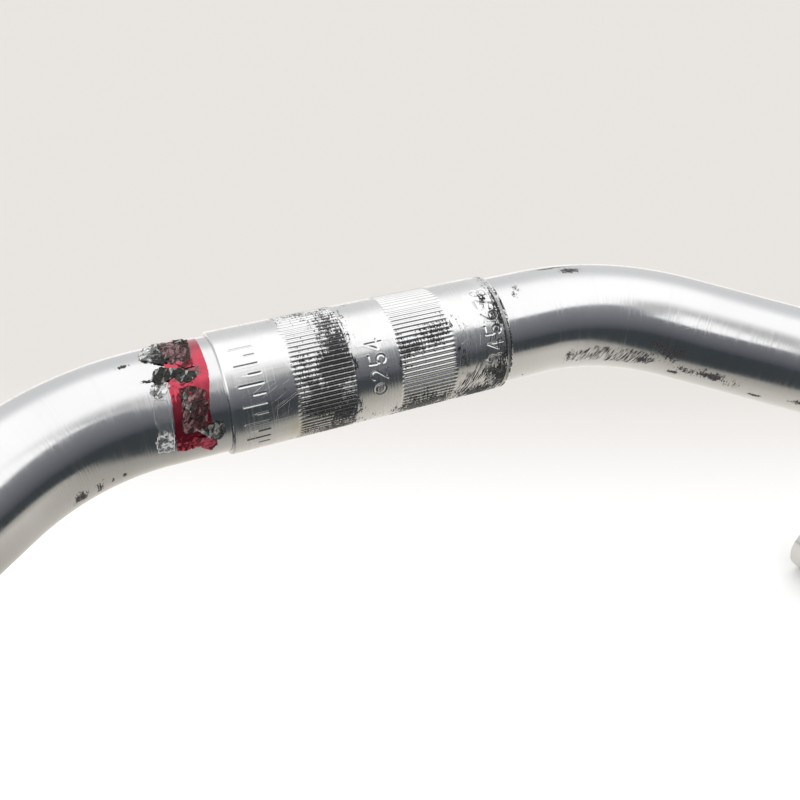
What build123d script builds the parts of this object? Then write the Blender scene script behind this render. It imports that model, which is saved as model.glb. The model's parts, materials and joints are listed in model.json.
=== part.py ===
from build123d import *
import os
from math import cos, radians, sin, tan

# Drop handlebar for a bicycle: one bent aluminium tube, a clamp sleeve pressed over its middle, and
# what is left of a wrap-round label beside the sleeve. Millimetres and degrees.
#
# Frame: the origin is the middle of the clamp sleeve, on its axis. +X runs along the sleeve, +Z is up
# and -Y is forward, the way the hooks reach. The two lower drops are level and run back along +Y.
# Angles round the sleeve count from straight up (0) over the front (90) to straight down (180).

# ---- tube section ----
TUBE_OD = 23.8
TUBE_WALL = 2.0
TUBE_END_CHAMFER = 0.4

# ---- tube route: straight middle, forward bend, ramp, shoulder bend, hook, lower drop ----
# With these values the drops are 400 apart, 147.5 below the sleeve, and reach 105 in front of it.
HALF_WIDTH = 200.0
BEND_RADIUS = 58.0
BEND_ANGLE = 35.1
RAMP_SLOPE = 20.6
SHOULDER_RADIUS = 56.0
DESCENT_ANGLE = 75.7
DESCENT_STRAIGHT = 7.4
HOOK_RADIUS = 54.0
DROP_STRAIGHT = 76.0

# ---- clamp sleeve ----
SLEEVE_WALL = 0.8
SLEEVE_LENGTH = 61.6
SLEEVE_CHAMFER = 0.35

# ---- grip grooves pressed along the sleeve, in two bands ----
GROOVE_COUNT = 80
GROOVE_WIDTH = 0.5
GROOVE_DEPTH = 0.2
BAND_LENGTH = 12.5
BAND_GAP = 10.0

# ---- marks stamped in the sleeve: plain numerals, a centre ring and index strokes ----
STAMP_DEPTH = 0.15
STAMP_REACH = 1.0
STROKE = 0.4
NUMERAL_HEIGHT = 3.5
NUMERAL_WIDTH = 2.0
NUMERAL_STEP = 14.0
SIZE_MARK = "254"
SIZE_MARK_FROM = 73.0
RING_MARK_AT = 87.0
RING_MARK_RADIUS = 1.1
INDEX_COUNT = 8
INDEX_FROM = 112.0
INDEX_END_GAP = 4.3
TICK_COUNT = 12
TICK_STEP = 9.0
TICK_FROM = 20.0
TICK_LONG = 4.6
TICK_SHORT = 2.2
TICK_END_GAP = 7.2

# ---- label: a red foil strip, a corner of its clear film and the torn scraps that lie on it ----
LABEL_THICKNESS = 0.12
LABEL_WIDTH = 8.8
LABEL_GAP = 2.0
LABEL_TO_BEND = 0.7
LABEL_FROM = -95.0
LABEL_TO = 108.0
FILM_WIDTH = 2.6
FILM_FROM = 76.0
FILM_TO = 103.0
SCRAP_THICKNESS = 0.1
# Each scrap: its start and end past the label's outer edge, towards the sleeve, and its two angles.
SCRAPS = [
    (-1.9, 3.4, -6.0, 22.0),
    (-2.2, 2.6, 24.0, 50.0),
    (2.8, 7.2, 38.0, 57.0),
    (3.0, 7.6, 59.0, 82.0),
    (5.0, 9.6, 84.0, 110.0),
]

tube_r = TUBE_OD / 2
bore_r = tube_r - TUBE_WALL
sleeve_r = tube_r + SLEEVE_WALL
half_sleeve = SLEEVE_LENGTH / 2
label_x = -half_sleeve - LABEL_GAP - LABEL_WIDTH
bend_start = half_sleeve + LABEL_GAP + LABEL_WIDTH + LABEL_TO_BEND

# ---- the route's corners, where its straight runs would meet if nothing were bent ----
def corner_reach(radius, turn):
    """How far a bend's two ends lie from its corner."""
    return radius * tan(radians(turn / 2))


# The ramp lies in a plane that slopes down and forward, and its corner is over the lower drop.
bend_corner = Vector(bend_start + corner_reach(BEND_RADIUS, BEND_ANGLE), 0, 0)
ramp_forward = (HALF_WIDTH - bend_corner.X) * tan(radians(BEND_ANGLE))
shoulder_y = -ramp_forward * cos(radians(RAMP_SLOPE))
shoulder_z = -ramp_forward * sin(radians(RAMP_SLOPE))
shoulder_corner = Vector(HALF_WIDTH, shoulder_y, shoulder_z)

# From the shoulder the tube falls forward, turns in the hook and runs back level.
descent_way = Vector(0, -cos(radians(DESCENT_ANGLE)), -sin(radians(DESCENT_ANGLE)))
shoulder_turn = (shoulder_corner - bend_corner).get_angle(descent_way)
shoulder_reach = corner_reach(SHOULDER_RADIUS, shoulder_turn)
hook_reach = corner_reach(HOOK_RADIUS, 180 - DESCENT_ANGLE)
hook_corner = shoulder_corner + descent_way * (shoulder_reach + DESCENT_STRAIGHT + hook_reach)
drop_end = hook_corner + Vector(0, hook_reach + DROP_STRAIGHT, 0)


def mirrored(point):
    """The same point on the bar's left half."""
    return Vector(-point.X, point.Y, point.Z)


right_corners = [bend_corner, shoulder_corner, hook_corner, drop_end]
left_corners = [mirrored(corner) for corner in reversed(right_corners)]
left_radii = [HOOK_RADIUS, SHOULDER_RADIUS, BEND_RADIUS]

# ---- handlebar tube ----
with BuildPart() as handlebar_tube:
    with BuildLine() as route:
        FilletPolyline(*left_corners, *right_corners, radius=left_radii + left_radii[::-1])
    with BuildSketch(Plane(origin=mirrored(drop_end), z_dir=(0, -1, 0))):
        Circle(tube_r)
        Circle(bore_r, mode=Mode.SUBTRACT)
    sweep(path=route.line)
    end_faces = handlebar_tube.faces().filter_by(GeomType.PLANE)
    chamfer(end_faces.edges(), TUBE_END_CHAMFER)


# ---- stamped marks ----
def around(angle, along_x=0.0):
    """The plane that touches the sleeve at an angle round it, with its own Y towards -X."""
    outward = Vector(0, -sin(radians(angle)), cos(radians(angle)))
    reading = Vector(0, cos(radians(angle)), sin(radians(angle)))
    return Plane(origin=outward * sleeve_r + Vector(along_x, 0, 0), x_dir=reading, z_dir=outward)


def draw_numeral(figure):
    """The centre lines of one plain numeral, in a box of NUMERAL_WIDTH by NUMERAL_HEIGHT."""
    w = NUMERAL_WIDTH / 2
    h = NUMERAL_HEIGHT / 2
    bowl = w * 0.9
    if figure == "1":
        Polyline((-w / 2, h * 0.5), (0, h), (0, -h))
    elif figure == "2":
        top = CenterArc((0, h - bowl), bowl, 160, -200)
        Polyline(top @ 1, (-w, -h), (w, -h))
    elif figure == "3":
        CenterArc((0, h / 2), h / 2, 150, -240)
        CenterArc((0, -h / 2), h / 2, 90, -240)
    elif figure == "4":
        Polyline((w, -h * 0.4), (-w, -h * 0.4), (w * 0.4, h), (w * 0.4, -h))
    elif figure == "5":
        Polyline((w, h), (-w * 0.7, h), (-w * 0.8, h * 0.15))
        CenterArc((0, -h + bowl), bowl, 140, -290)
    elif figure == "6":
        CenterArc((0, -h + bowl), bowl, 0, 360)
        ThreePointArc((-bowl, -h + bowl), (-bowl * 0.7, h * 0.3), (w * 0.6, h))
    elif figure == "7":
        Polyline((-w, h), (w, h), (-w * 0.3, -h))
    elif figure == "8":
        CenterArc((0, h / 2), h / 2 * 0.92, 0, 360)
        CenterArc((0, -h / 2), h / 2, 0, 360)


def draw_ring():
    """The plain ring that marks the middle of the sleeve."""
    CenterArc((0, 0), RING_MARK_RADIUS, 0, 360)


def draw_tick(length):
    """An index stroke that runs along the sleeve, out towards its end."""
    Line((0, 0), (0, length))


def stamp(draw, plane):
    """The solid that a drawn mark's round-ended strokes take out of the sleeve."""
    with BuildPart() as punch:
        with BuildSketch(plane):
            with BuildLine(mode=Mode.PRIVATE) as pen:
                draw()
            for stroke in pen.edges():
                trace(stroke, line_width=STROKE)
            with Locations(*[end.center() for end in pen.vertices()]):
                Circle(STROKE / 2)
        extrude(amount=STAMP_REACH, both=True)
        Cylinder(sleeve_r - STAMP_DEPTH, SLEEVE_LENGTH, rotation=(0, 90, 0), mode=Mode.SUBTRACT)
    return punch.part


stamps = [stamp(draw_ring, around(RING_MARK_AT))]
for place, figure in enumerate(SIZE_MARK):
    at = around(SIZE_MARK_FROM - place * NUMERAL_STEP)
    stamps.append(stamp(lambda: draw_numeral(figure), at))
for place in range(INDEX_COUNT):
    at = around(INDEX_FROM - place * NUMERAL_STEP, half_sleeve - INDEX_END_GAP)
    stamps.append(stamp(lambda: draw_numeral(str(place + 1)), at))
for place in range(TICK_COUNT):
    at = around(TICK_FROM + place * TICK_STEP, TICK_END_GAP - half_sleeve)
    length = TICK_SHORT if place % 2 else TICK_LONG
    stamps.append(stamp(lambda: draw_tick(length), at))

# ---- clamp sleeve ----
with BuildPart() as clamp_sleeve:
    with BuildSketch(Plane.YZ.offset(-half_sleeve)):
        Circle(sleeve_r)
        Circle(tube_r, mode=Mode.SUBTRACT)
    extrude(amount=SLEEVE_LENGTH)
    outer_rims = clamp_sleeve.edges().filter_by(GeomType.CIRCLE).sort_by(SortBy.RADIUS)[-2:]
    chamfer(outer_rims, SLEEVE_CHAMFER)
    for band_start in (-BAND_GAP / 2 - BAND_LENGTH, BAND_GAP / 2):
        with BuildSketch(Plane.YZ.offset(band_start)):
            with PolarLocations(sleeve_r, GROOVE_COUNT):
                Rectangle(GROOVE_DEPTH * 2, GROOVE_WIDTH)
        extrude(amount=BAND_LENGTH, mode=Mode.SUBTRACT)
    add(stamps, mode=Mode.SUBTRACT)


# ---- label remains ----
def wrap_outline(inner_r, thickness, angle_from, angle_to):
    """The section of a strip wrapped round the tube, between two angles."""
    from_y_axis = 90 + angle_from
    sweep_angle = angle_to - angle_from
    inner = CenterArc((0, 0), inner_r, from_y_axis, sweep_angle)
    outer = CenterArc((0, 0), inner_r + thickness, from_y_axis, sweep_angle)
    Line(inner @ 0, outer @ 0)
    Line(inner @ 1, outer @ 1)


with BuildPart() as label_foil:
    with BuildSketch(Plane.YZ.offset(label_x)):
        with BuildLine():
            wrap_outline(tube_r, LABEL_THICKNESS, LABEL_FROM, LABEL_TO)
        make_face()
    extrude(amount=LABEL_WIDTH)

# The film's corner reaches onto the start of the bend, so the bent tube is taken out of it.
with BuildPart() as label_film:
    with BuildSketch(Plane.YZ.offset(label_x - FILM_WIDTH)):
        with BuildLine():
            wrap_outline(tube_r, LABEL_THICKNESS, FILM_FROM, FILM_TO)
        make_face()
    extrude(amount=FILM_WIDTH)
    add(handlebar_tube.part, mode=Mode.SUBTRACT)

with BuildPart() as label_scraps:
    for scrap_from, scrap_to, angle_from, angle_to in SCRAPS:
        with BuildSketch(Plane.YZ.offset(label_x + scrap_from)):
            with BuildLine():
                wrap_outline(tube_r + LABEL_THICKNESS, SCRAP_THICKNESS, angle_from, angle_to)
            make_face()
        extrude(amount=scrap_to - scrap_from)

# ---- files ----
os.makedirs("parts", exist_ok=True)

handlebar_tube.part.label = "handlebar_tube"
export_step(handlebar_tube.part, "parts/handlebar_tube.step")

clamp_sleeve.part.label = "clamp_sleeve"
export_step(clamp_sleeve.part, "parts/clamp_sleeve.step")

label_foil.part.label = "label_foil"
export_step(label_foil.part, "parts/label_foil.step")

label_film.part.label = "label_film"
export_step(label_film.part, "parts/label_film.step")

label_scraps.part.label = "label_scraps"
export_step(label_scraps.part, "parts/label_scraps.step")
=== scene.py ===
import functools
import json
import math
import typing

import bmesh
import bpy
import numpy as np
from mathutils import Matrix, Vector, noise


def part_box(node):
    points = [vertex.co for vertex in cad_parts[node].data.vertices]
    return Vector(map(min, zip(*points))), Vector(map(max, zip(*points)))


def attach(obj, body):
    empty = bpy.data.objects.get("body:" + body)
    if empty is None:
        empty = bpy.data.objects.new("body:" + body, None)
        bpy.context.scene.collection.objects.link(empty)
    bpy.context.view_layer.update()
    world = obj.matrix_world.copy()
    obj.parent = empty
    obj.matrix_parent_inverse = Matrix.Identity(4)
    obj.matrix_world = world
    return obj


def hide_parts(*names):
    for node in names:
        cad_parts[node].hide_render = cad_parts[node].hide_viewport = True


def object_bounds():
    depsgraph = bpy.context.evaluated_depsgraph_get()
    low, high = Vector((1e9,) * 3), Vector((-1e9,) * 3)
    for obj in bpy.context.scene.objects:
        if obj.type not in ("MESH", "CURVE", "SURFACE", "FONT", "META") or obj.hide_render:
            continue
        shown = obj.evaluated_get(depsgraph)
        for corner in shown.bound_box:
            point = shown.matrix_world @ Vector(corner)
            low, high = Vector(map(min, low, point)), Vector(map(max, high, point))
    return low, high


bl_info = {
    "name": "Drop handlebar",
    "version": (1, 0, 0),
    "blender": (4, 5, 0),
    "location": "3D View > Sidebar > Handlebar",
    "description": "A worn drop handlebar with its clamp sleeve and what is left of its label",
    "category": "Mesh",
}

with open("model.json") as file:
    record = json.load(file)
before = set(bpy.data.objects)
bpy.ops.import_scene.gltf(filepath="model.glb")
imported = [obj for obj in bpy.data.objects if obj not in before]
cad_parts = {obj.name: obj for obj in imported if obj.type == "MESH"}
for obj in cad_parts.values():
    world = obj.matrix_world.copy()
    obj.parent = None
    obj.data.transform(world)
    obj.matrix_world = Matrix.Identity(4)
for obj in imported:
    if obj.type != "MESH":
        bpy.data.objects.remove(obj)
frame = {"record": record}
cad_low, cad_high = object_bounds()

MM = 0.001
mounts = {mount["name"]: mount for mount in frame["record"]["mounts"]}
grip, bar_end, clamp = mounts["grip_right"], mounts["bar_end_right"], mounts["stem_clamp"]
sleeve_low, sleeve_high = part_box("clamp_sleeve")
foil_low, foil_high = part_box("label_foil")


# ---- sizes and colours a user may change ----
def size(name, what, default):
    """A length property, in metres."""
    return bpy.props.FloatProperty(
        name=name, description=what, default=default, min=0.0,
        unit="LENGTH", subtype="DISTANCE", precision=5,
    )


def turn(name, what, degrees):
    """An angle property, given in degrees."""
    return bpy.props.FloatProperty(
        name=name, description=what, default=math.radians(degrees),
        unit="ROTATION", subtype="ANGLE",
    )


def colour(name, what, red, green, blue):
    """A colour property."""
    return bpy.props.FloatVectorProperty(
        name=name, description=what, default=(red, green, blue),
        size=3, min=0.0, max=1.0, subtype="COLOR",
    )


def count(name, what, default):
    """A whole number property."""
    return bpy.props.IntProperty(name=name, description=what, default=default, min=3)


class HANDLEBAR_PG_tube(bpy.types.PropertyGroup):
    """Sizes of the bent tube and the route it follows"""

    radius: size("Tube radius", "Outside radius of the tube", grip["dims"]["r_mm"] * MM)
    bore: size("Bore radius", "Inside radius of the tube", bar_end["dims"]["r_mm"] * MM)
    chamfer: size("End chamfer", "Chamfer on the rims of both ends", 0.4 * MM)
    half_width: size("Half width", "From the middle to a drop's axis", grip["pos_m"][0])
    bend_start: size("Bend start", "Where the straight middle ends", 42.3 * MM)
    bend_radius: size("Bend radius", "Radius of the forward bends", 58 * MM)
    bend_angle: turn("Bend angle", "Turn of the forward bends, seen square to the ramp", 35.1)
    ramp_slope: turn("Ramp slope", "How steeply the ramps fall", 20.6)
    shoulder_radius: size("Shoulder radius", "Radius of the bends that carry brake levers", 56 * MM)
    descent_angle: turn("Descent angle", "Fall of the tube below the shoulders", 75.7)
    descent_straight: size("Descent straight", "Straight run between shoulder and hook", 7.4 * MM)
    hook_radius: size("Hook radius", "Radius of the hooks", 54 * MM)
    drop_straight: size("Drop straight", "Straight run of the lower drops", 76 * MM)
    facets: count("Facets", "Facets round the tube", 96)
    metal: colour("Metal", "Colour of the polished metal", 0.71, 0.71, 0.715)
    dirt: colour("Dirt", "Colour of scuffs and smudges", 0.050, 0.048, 0.050)


class HANDLEBAR_PG_sleeve(bpy.types.PropertyGroup):
    """Sizes of the clamp sleeve and what is pressed into it"""

    radius: size("Sleeve radius", "Outside radius of the sleeve", clamp["dims"]["r_mm"] * MM)
    length: size("Sleeve length", "Length of the sleeve", sleeve_high.x - sleeve_low.x)
    fit_gap: size("Fit gap", "Gap between the sleeve's bore and the tube", 0.012 * MM)
    chamfer: size("Rim chamfer", "Chamfer on the outer rims", 0.35 * MM)
    grooves: count("Grooves", "Grip grooves round the sleeve", 80)
    groove_width: size("Groove width", "Width of one groove", 0.5 * MM)
    groove_depth: size("Groove depth", "Depth of one groove", 0.2 * MM)
    band_length: size("Band length", "Length of each band of grooves", 12.5 * MM)
    band_gap: size("Band gap", "Plain space between the two bands", 10 * MM)
    stamp_depth: size("Stamp depth", "Depth of the stamped marks", 0.15 * MM)
    stroke: size("Stroke", "Width of a stamped stroke", 0.4 * MM)
    metal: colour("Metal", "Colour of the sleeve's metal", 0.77, 0.77, 0.765)
    dirt: colour("Dirt", "Colour of the dirt in the grooves and marks", 0.026, 0.026, 0.028)


class HANDLEBAR_PG_label(bpy.types.PropertyGroup):
    """Sizes and colours of what is left of the label"""

    outer_edge: size("Outer edge", "From the middle to the label's outer edge", -foil_low.x)
    width: size("Width", "Width of the foil strip", foil_high.x - foil_low.x)
    foil_thickness: size("Foil thickness", "Thickness of the foil", 0.06 * MM)
    foil: colour("Foil", "Colour of the foil", 0.52, 0.024, 0.060)
    scrap: colour("Scraps", "Colour of the torn print", 0.013, 0.013, 0.012)
    film: colour("Film", "Colour of the clear film", 0.93, 0.93, 0.92)


class HANDLEBAR_PG_stage(bpy.types.PropertyGroup):
    """Camera, floor and light"""

    lens: bpy.props.FloatProperty(
        name="Lens", description="Focal length", default=41.41, unit="CAMERA",
    )
    place: bpy.props.FloatVectorProperty(
        name="Camera place", description="Where the camera stands", size=3,
        default=(-59.09 * MM, -156.59 * MM, 103.45 * MM), subtype="TRANSLATION", unit="LENGTH",
    )
    pitch: turn("Pitch", "How far the camera looks down", 34.16)
    heading: turn("Heading", "How far the camera turns to the right", 23.74)
    floor: colour("Floor", "Colour of the floor under the bar", 0.98, 0.98, 0.98)
    far_floor: colour("Far floor", "Colour of the floor far behind the bar", 0.655, 0.630, 0.605)
    far_heading: turn("Far heading", "Direction in which the floor turns grey", 23.74)
    far_start: size("Far start", "Where the floor starts to turn grey", 52.9 * MM)
    far_end: size("Far end", "Where the floor has turned grey", 252.9 * MM)
    lift: bpy.props.FloatProperty(
        name="Floor lift", description="Light that the floor adds of its own", default=0.10,
    )
    ceiling: bpy.props.FloatProperty(
        name="Ceiling", description="Brightness of the ceiling", default=1.42,
    )


# ---- shader node helpers ----
class Nodes:
    """Places nodes in one tree and joins them up."""

    def __init__(self, tree):
        self.tree = tree

    def wire(self, node, values):
        """Sets a node's sockets to values, or joins them to other sockets."""
        for name, value in values.items():
            if isinstance(value, bpy.types.NodeSocket):
                self.tree.links.new(value, node.inputs[name])
            else:
                node.inputs[name].default_value = value

    def add(self, kind, values=None, **settings):
        """A node with its settings, wired to some values."""
        node = self.tree.nodes.new("ShaderNode" + kind)
        for name, value in settings.items():
            setattr(node, name, value)
        self.wire(node, values or {})
        return node

    def work_out(self, operation, *values, clamp=False):
        """One operation on two values, or on more in turn. Only the last result is clamped."""
        found = values[0]
        for place, value in enumerate(values[1:], start=2):
            node = self.add(
                "Math", {0: found, 1: value},
                operation=operation, use_clamp=clamp and place == len(values),
            )
            found = node.outputs[0]
        return found

    plus = functools.partialmethod(work_out, "ADD")
    minus = functools.partialmethod(work_out, "SUBTRACT")
    times = functools.partialmethod(work_out, "MULTIPLY")
    highest = functools.partialmethod(work_out, "MAXIMUM")

    def vector(self, operation, *values):
        """One operation on vectors."""
        node = self.add("VectorMath", dict(enumerate(values)), operation=operation)
        return node.outputs["Value" if operation in ("LENGTH", "DOT_PRODUCT") else "Vector"]

    def split(self, vector):
        """The three parts of a vector."""
        return self.add("SeparateXYZ", {0: vector}).outputs

    def attribute(self, name, output="Fac"):
        """One of the mesh's own attributes."""
        return self.add("Attribute", attribute_name=name).outputs[output]

    def object_place(self):
        """Where a point lies in its object's own frame."""
        return self.add("TexCoord").outputs["Object"]

    def fade(self, value, low, high, from_=0.0, to=1.0):
        """A smooth step of a value between two limits."""
        node = self.add(
            "MapRange",
            {"Value": value, "From Min": low, "From Max": high, "To Min": from_, "To Max": to},
            interpolation_type="SMOOTHSTEP",
        )
        return node.outputs["Result"]

    def stops(self, value, low, high, shades):
        """A colour that changes along a value, between its two limits."""
        level = self.add("MapRange", {"Value": value, "From Min": low, "From Max": high})
        node = self.add("ValToRGB", {"Fac": level.outputs["Result"]})
        elements = node.color_ramp.elements
        for number, (place, shade) in enumerate(shades):
            spot = (place - low) / (high - low)
            element = elements[number] if number < 2 else elements.new(spot)
            element.position = spot
            element.color = (*shade, 1.0)
        return node.outputs["Color"]

    def blend(self, part, first, second):
        """Two colours mixed by a share."""
        node = self.add("Mix", {0: part, 6: first, 7: second}, data_type="RGBA")
        return node.outputs[2]

    def noise(self, vector, scale, detail=2.0, rough=0.5, output="Fac"):
        """A cloudy value, or a cloudy colour."""
        values = {"Vector": vector, "Scale": scale, "Detail": detail, "Roughness": rough}
        return self.add("TexNoise", values).outputs[output]

    def cells(self, vector, scale, output):
        """Uneven cells: the distance from their middles, or their colours."""
        values = {"Vector": vector, "Scale": scale}
        return self.add("TexVoronoi", values).outputs[output]

    def bump(self, height, distance):
        """A normal that follows a height. The distance is in metres."""
        values = {"Strength": 1.0, "Distance": distance, "Height": height}
        return self.add("Bump", values).outputs[0]

    def mix(self, part, first, second):
        """Two shaders mixed by a share."""
        return self.add("MixShader", {0: part, 1: first, 2: second}).outputs[0]

    def group(self, name, **values):
        """A shared effect, placed with its own values."""
        return self.add("Group", values, node_tree=bpy.data.node_groups[name]).outputs


def slanted(n, flat, degrees, long, wide, seed=0.0):
    """Flat places turned and stretched, so that a noise read there runs in one direction."""
    values = {
        "Vector": flat, "Location": (seed, seed, 0.0),
        "Rotation": (0.0, 0.0, math.radians(degrees)), "Scale": (wide, long, 1.0),
    }
    return n.add("Mapping", values, vector_type="TEXTURE").outputs[0]


def uneven(n, value, amount):
    """A noise moved to lie about 0, and strengthened."""
    return n.times(n.minus(value, 0.5), amount)


# ---- shared effects ----
# A place "straight" is in metres, where the point would be if the bar were straight. "Place" is
# along the bar in millimetres and the angle round it in degrees, 0 up and 90 at the front. "Flat"
# is the skin rolled out, in millimetres both ways.
SKIN_RADIUS_MM = 12.0


def fill_unrolled(n, taken):
    """Where a point lies on the skin of the bar."""
    split = n.split(taken["Straight"])
    along = n.times(split["X"], 1000.0)
    angle = n.work_out("ARCTAN2", n.times(split["Y"], -1.0), split["Z"])
    degrees = n.times(angle, 180.0 / math.pi)
    rolled = n.times(angle, SKIN_RADIUS_MM)
    return {
        "Place": n.add("CombineXYZ", {"X": along, "Y": degrees}).outputs[0],
        "Flat": n.add("CombineXYZ", {"X": along, "Y": rolled}).outputs[0],
    }


def fill_patch(n, taken):
    """A soft round field: its strength at the centre, 0 at the reach, and below 0 outside."""
    offset = n.vector("SUBTRACT", taken["Place"], taken["Centre"])
    away = n.vector("LENGTH", n.vector("DIVIDE", offset, taken["Reach"]))
    return {"Field": n.times(n.minus(1.0, away), taken["Strength"])}


def fill_streaks(n, taken):
    """Fine polishing lines that run round the bar, in uneven bundles."""
    fine = n.noise(n.vector("MULTIPLY", taken["Straight"], (3400.0, 55.0, 55.0)), 1.0, 3.0, 0.6)
    bundles = n.noise(n.vector("MULTIPLY", taken["Straight"], (420.0, 30.0, 30.0)), 1.0, 2.0)
    return {"Streaks": n.times(n.fade(fine, 0.3, 0.75), n.fade(bundles, 0.3, 0.7, 0.35, 1.0))}


def fill_scratches(n, taken):
    """Thin straight scratches across the bar in three directions, only here and there."""
    found = None
    for degrees, seed in ((64.0, 3.0), (-22.0, 11.0), (12.0, 23.0)):
        line = n.noise(slanted(n, taken["Flat"], degrees, 18.0, 0.16, seed), 1.0, 1.0)
        patchy = n.noise(taken["Flat"], 0.11 + seed * 0.004, 2.0)
        one = n.times(n.fade(line, 0.68, 0.75), n.fade(patchy, 0.48, 0.66))
        found = one if found is None else n.highest(found, one)
    return {"Mask": n.times(found, taken["Amount"])}


def fill_grime(n, taken):
    """Ragged dirt where a field is high: blots broken up by grain and by streaks round the bar."""
    broad = n.noise(taken["Straight"], 360.0, 5.0, 0.7)
    grain = n.noise(taken["Straight"], 2800.0, 3.0, 0.75)
    round_bar = n.vector("MULTIPLY", taken["Straight"], (2600.0, 420.0, 420.0))
    streaks = n.noise(round_bar, 1.0, 3.0, 0.65)
    ragged = n.plus(uneven(n, broad, 0.9), uneven(n, grain, 0.8), uneven(n, streaks, 0.9))
    pushed = n.plus(taken["Field"], n.times(ragged, taken["Raggedness"]))
    return {"Mask": n.times(n.fade(pushed, 0.04, 0.36), n.fade(grain, 0.32, 0.56, 0.66, 1.0))}


def fill_hatch(n, taken):
    """Short slanting scuffs, close together, where a field is high."""
    lines = uneven(n, n.noise(slanted(n, taken["Flat"], 24.0, 3.2, 0.34), 1.0, 2.5, 0.65), 4.5)
    field = n.plus(taken["Field"], uneven(n, n.noise(taken["Flat"], 0.6, 3.0), 1.4))
    return {"Mask": n.times(n.fade(lines, -0.12, 0.22), n.fade(field, 0.05, 0.5))}


def fill_facets(n, taken):
    """Crumpled facets of uneven painted shade, drawn out in one slanting direction, and a finer
    crumple.
    """
    place = slanted(n, taken["Flat"], 32.0, 1.5, 0.62)
    bent = n.noise(place, 1.3, 3.0, 0.6, "Color")
    pushed = n.vector("ADD", place, n.vector("MULTIPLY", bent, (1.1, 1.1, 0.0)))
    shade = n.add("SeparateColor", {0: n.cells(pushed, 1.0, "Color")}).outputs[0]
    crumple = n.noise(slanted(n, taken["Flat"], 32.0, 1.1, 0.4, 7.0), 1.0, 3.0, 0.6)
    return {"Shade": shade, "Crumple": crumple}


def fill_specks(n, taken):
    """Small dark pits and specks scattered thinly."""
    small = n.fade(n.cells(taken["Straight"], taken["Density"], "Distance"), 0.10, 0.04)
    chosen = n.fade(n.noise(taken["Straight"], 130.0, 3.0), 0.58, 0.68)
    return {"Mask": n.times(small, chosen)}


# Each effect's name, what it takes, what it gives, and what makes it.
VECTORS = {"Straight", "Place", "Flat", "Centre", "Reach"}
EFFECTS = [
    ("unrolled", ["Straight"], ["Place", "Flat"], fill_unrolled),
    ("patch", ["Place", "Centre", "Reach", "Strength"], ["Field"], fill_patch),
    ("polish_streaks", ["Straight"], ["Streaks"], fill_streaks),
    ("scratches", ["Flat", "Amount"], ["Mask"], fill_scratches),
    ("grime", ["Straight", "Field", "Raggedness"], ["Mask"], fill_grime),
    ("hatch", ["Flat", "Field"], ["Mask"], fill_hatch),
    ("crumpled_facets", ["Flat"], ["Shade", "Crumple"], fill_facets),
    ("specks", ["Straight", "Density"], ["Mask"], fill_specks),
]


def make_shared_effects():
    """Makes each effect that more than one material uses, as a node group."""
    for name, takes, gives, fill in EFFECTS:
        if name in bpy.data.node_groups:
            continue
        tree = bpy.data.node_groups.new(name, "ShaderNodeTree")
        for in_out, labels in (("INPUT", takes), ("OUTPUT", gives)):
            for label in labels:
                kind = "NodeSocketVector" if label in VECTORS else "NodeSocketFloat"
                tree.interface.new_socket(label, in_out=in_out, socket_type=kind)
        n = Nodes(tree)
        taken = tree.nodes.new("NodeGroupInput").outputs
        n.wire(tree.nodes.new("NodeGroupOutput"), fill(n, taken))


# ---- finishes ----
def empty_nodes(owner):
    """The node tree of a material or a world, with nothing in it."""
    owner.use_nodes = True
    owner.node_tree.nodes.clear()
    return Nodes(owner.node_tree)


def new_material(name):
    """An empty node material: its nodes, its shader and its output."""
    made = bpy.data.materials.new(name)
    n = empty_nodes(made)
    shader = n.add("BsdfPrincipled")
    n.add("OutputMaterial", {"Surface": shader.outputs[0]})
    return made, n, shader


def rgba(value, shade=1.0):
    """A colour with full opacity, made darker or lighter by a shade."""
    return (*(shade * part for part in value[:3]), 1.0)


def patches_field(n, place, patches):
    """The highest of several patches. Each is along, angle, reach along, reach round, strength."""
    field = None
    for along, angle, reach_along, reach_round, strength in patches:
        one = n.group(
            "patch", Place=place, Centre=(along, angle, 0.0),
            Reach=(reach_along, reach_round, 1.0), Strength=strength,
        )["Field"]
        field = one if field is None else n.highest(field, one)
    return field


# Patches: along and angle of the middle, reach along and round, and strength.
TUBE_SMUDGES = [
    (50.4, 1, 2.4, 6, 0.9), (47.4, -11, 3.6, 2.2, 0.7), (69.5, 113, 3.2, 6, 0.9),
    (72, 90, 2.4, 5, 0.8), (75.5, 96, 4, 9, 0.55), (78.8, 124, 1.5, 3.5, 0.9),
    (86.5, 114, 6.5, 7, 0.62), (98.9, 127, 1.8, 3, 0.9), (108, 118, 2, 5, 0.8),
    (46.4, 106, 1, 7, 0.5), (36, 13, 0.6, 4, 0.32), (34.4, 23, 0.6, 4.5, 0.42),
    (-47.4, 7, 1.1, 2.4, 0.8), (-65.6, 115, 1.8, 8, 0.6), (-60.6, 116, 1.1, 8, 0.55),
    (-57.5, 115, 0.6, 5, 0.6), (-54.5, 115, 0.5, 4, 0.7),
]
TUBE_SCUFFS = [(54, 108, 8, 13, 1.5), (64.5, 111, 9.5, 13, 1.9)]
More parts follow.
